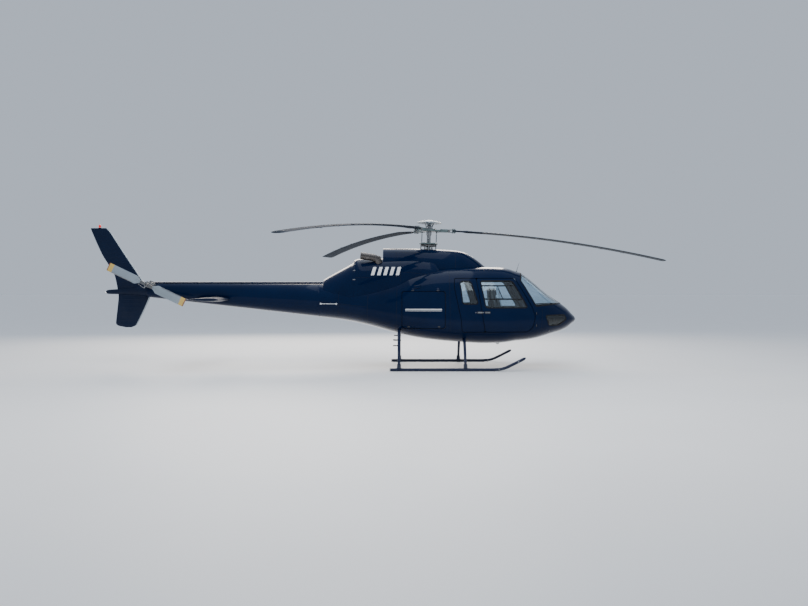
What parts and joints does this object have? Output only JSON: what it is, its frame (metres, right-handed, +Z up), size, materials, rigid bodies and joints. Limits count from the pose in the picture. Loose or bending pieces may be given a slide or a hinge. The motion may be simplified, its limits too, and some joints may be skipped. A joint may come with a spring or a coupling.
{
  "type": "helicopter",
  "caption": "Light helicopter parked on skids, with a hollow cabin, hinged cabin and hold doors, a tail boom with fins, and main and tail rotors that turn.",
  "frame": {"origin": "centre of the bounding box at ground level, under the cabin's rear", "axes": "+X forward to the nose, +Y to the left side, +Z up"},
  "size_m": [12.9461, 9.4329, 3.2887],
  "materials": {
    "navy_paint": "gloss",
    "gear_paint": "satin",
    "glazing": "clear",
    "rotor_blade": "satin",
    "machined_metal": "satin",
    "exhaust_metal": "heat stained",
    "cast_block": "rough",
    "cabin_trim": "matte",
    "seat_leather": "semi matte",
    "red_lamp": "gloss"
  },
  "bodies": {
    "airframe": {"beacon": "red_lamp", "cabin_shell": "navy_paint", "centre_fuselage": "navy_paint", "chin_window_left": "glazing", "chin_window_right": "glazing", "drive_shaft_cover": "navy_paint", "engine_cowl_left": "navy_paint", "engine_cowl_right": "navy_paint", "engine_left": "cast_block", "engine_right": "cast_block", "exhaust_left": "exhaust_metal", "exhaust_right": "exhaust_metal", "front_cross_tube": "gear_paint", "front_seat_left": "seat_leather", "front_seat_right": "seat_leather", "gearbox_cowl": "navy_paint", "instrument_console": "cabin_trim", "lower_fin": "navy_paint", "lower_fuselage": "navy_paint", "main_gearbox": "cast_block", "rear_bench": "seat_leather", "rear_cross_tube": "gear_paint", "skid_left": "gear_paint", "skid_right": "gear_paint", "stabiliser_left": "navy_paint", "stabiliser_right": "navy_paint", "swashplate_fixed": "machined_metal", "tail_boom": "navy_paint", "tail_cone": "navy_paint", "tail_gearbox": "machined_metal", "upper_fin": "navy_paint", "windscreen_left": "glazing", "windscreen_right": "glazing"},
    "main_rotor": {"blade_sleeve_1": "machined_metal", "blade_sleeve_2": "machined_metal", "blade_sleeve_3": "machined_metal", "main_blade_1": "rotor_blade", "main_blade_2": "rotor_blade", "main_blade_3": "rotor_blade", "rotor_dome": "machined_metal", "rotor_mast": "machined_metal", "rotor_star": "machined_metal", "swashplate_turning": "machined_metal"},
    "tail_rotor": {"tail_blade_1": "rotor_blade", "tail_blade_2": "rotor_blade", "tail_rotor_hub": "machined_metal"},
    "front_door_right": {"front_door_pane_right": "glazing", "front_door_right": "navy_paint"},
    "rear_door_right": {"rear_door_pane_right": "glazing", "rear_door_right": "navy_paint"},
    "hold_door_right": {"hold_door_right": "navy_paint"},
    "front_door_left": {"front_door_left": "navy_paint", "front_door_pane_left": "glazing"},
    "rear_door_left": {"rear_door_left": "navy_paint", "rear_door_pane_left": "glazing"},
    "hold_door_left": {"hold_door_left": "navy_paint"}
  },
  "joints": [
    {"name": "main_rotor_spin", "type": "hinge", "parent": "airframe", "child": "main_rotor", "pos_m": [1.125, 0, 2.64], "axis": [0.0349, 0, 0.9994], "continuous": true},
    {"name": "tail_rotor_spin", "type": "hinge", "parent": "airframe", "child": "tail_rotor", "pos_m": [-5.075, -0.47, 1.84], "axis": [0, 1, 0], "continuous": true},
    {"name": "front_door_right_hinge", "type": "hinge", "parent": "airframe", "child": "front_door_right", "pos_m": [3.425, -0.797, 1.1], "axis": [0, 0, 1], "range_deg": [0, 75]},
    {"name": "rear_door_right_hinge", "type": "hinge", "parent": "airframe", "child": "rear_door_right", "pos_m": [1.51, -0.886, 1.4], "axis": [0, -0.0896, -0.996], "range_deg": [0, 75]},
    {"name": "hold_door_right_hinge", "type": "hinge", "parent": "airframe", "child": "hold_door_right", "pos_m": [1.035, -0.8765, 1.712], "axis": [-0.9947, 0.1029, 0], "range_deg": [0, 80]},
    {"name": "front_door_left_hinge", "type": "hinge", "parent": "airframe", "child": "front_door_left", "pos_m": [3.425, 0.797, 1.1], "axis": [0, 0, -1], "range_deg": [0, 75]},
    {"name": "rear_door_left_hinge", "type": "hinge", "parent": "airframe", "child": "rear_door_left", "pos_m": [1.51, 0.886, 1.4], "axis": [0, -0.0896, 0.996], "range_deg": [0, 75]},
    {"name": "hold_door_left_hinge", "type": "hinge", "parent": "airframe", "child": "hold_door_left", "pos_m": [1.035, 0.8765, 1.712], "axis": [0.9947, 0.1029, 0], "range_deg": [0, 80]}
  ]
}
